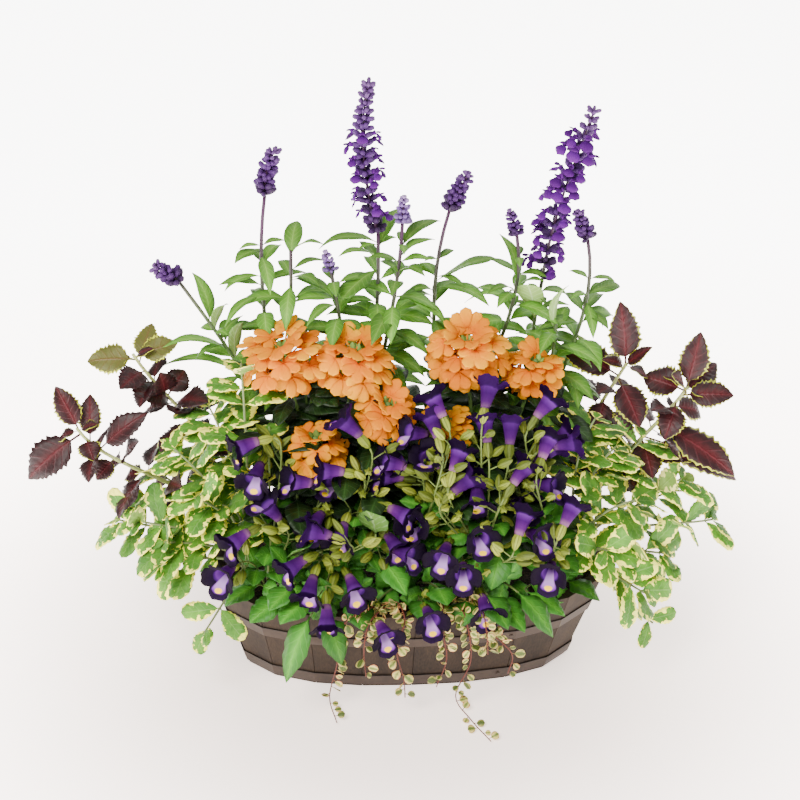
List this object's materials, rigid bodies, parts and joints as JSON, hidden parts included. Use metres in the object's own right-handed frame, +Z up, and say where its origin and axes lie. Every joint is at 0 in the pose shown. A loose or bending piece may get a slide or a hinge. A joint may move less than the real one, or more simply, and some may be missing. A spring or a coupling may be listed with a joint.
{
  "type": "mixed flower planter",
  "caption": "Oval stave tub with strap hoops, filled with soil and planted with violet spikes, orange heads, trumpet flowers and mixed foliage.",
  "frame": {"origin": "on the ground under the middle of the tub", "axes": "+X along the tub's length, -Y towards the front with the trailing vine, +Z up"},
  "size_m": [0.6968, 0.2828, 0.5751],
  "materials": {
    "stave_wood": "dark stained, weathered",
    "hoop_strap": "dark brown, satin",
    "soil": "crumbly, dark and matte",
    "salvia_foliage": "leafy, satin",
    "salvia_flower": "velvety petals",
    "crossandra_foliage": "leafy, slightly glossy",
    "crossandra_flower": "matte petals",
    "torenia_foliage": "leafy, satin, with violet flowers",
    "mint_foliage": "leafy, matte, cream edged",
    "coleus_foliage": "leafy, satin",
    "wire_vine_foliage": "leafy, matte, mottled"
  },
  "bodies": {
    "root": {"stave_01": "stave_wood", "stave_02": "stave_wood", "stave_03": "stave_wood", "stave_04": "stave_wood", "stave_05": "stave_wood", "stave_06": "stave_wood", "stave_07": "stave_wood", "stave_08": "stave_wood", "stave_09": "stave_wood", "stave_10": "stave_wood", "stave_11": "stave_wood", "stave_12": "stave_wood", "stave_13": "stave_wood", "stave_14": "stave_wood", "stave_15": "stave_wood", "stave_16": "stave_wood", "stave_17": "stave_wood", "stave_18": "stave_wood", "stave_19": "stave_wood", "stave_20": "stave_wood", "base_board": "stave_wood", "hoop_upper": "hoop_strap", "hoop_lower": "hoop_strap", "soil": "soil", "salvia_left": "salvia_foliage", "salvia_mid_left": "salvia_foliage", "salvia_mid_right": "salvia_foliage", "salvia_right": "salvia_foliage", "spike_tall_left": "salvia_flower", "spike_tall_right": "salvia_flower", "spike_left": "salvia_flower", "spike_nodding": "salvia_flower", "spike_right": "salvia_flower", "spike_pale_front": "salvia_flower", "spike_pale_left": "salvia_flower", "spike_small": "salvia_flower", "spike_small_right": "salvia_flower", "crossandra_left": "crossandra_foliage", "crossandra_right": "crossandra_foliage", "crossandra_head_1": "crossandra_flower", "crossandra_head_2": "crossandra_flower", "crossandra_head_3": "crossandra_flower", "crossandra_head_4": "crossandra_flower", "crossandra_head_5": "crossandra_flower", "crossandra_head_6": "crossandra_flower", "crossandra_head_7": "crossandra_flower", "torenia_1": "torenia_foliage", "torenia_2": "torenia_foliage", "torenia_3": "torenia_foliage", "torenia_4": "torenia_foliage", "torenia_5": "torenia_foliage", "mint_left": "mint_foliage", "mint_right": "mint_foliage", "coleus_left_upper": "coleus_foliage", "coleus_left_lower": "coleus_foliage", "coleus_right_upper": "coleus_foliage", "coleus_right_lower": "coleus_foliage", "wire_vine_left": "wire_vine_foliage", "wire_vine_right": "wire_vine_foliage"}
  },
  "joints": []
}
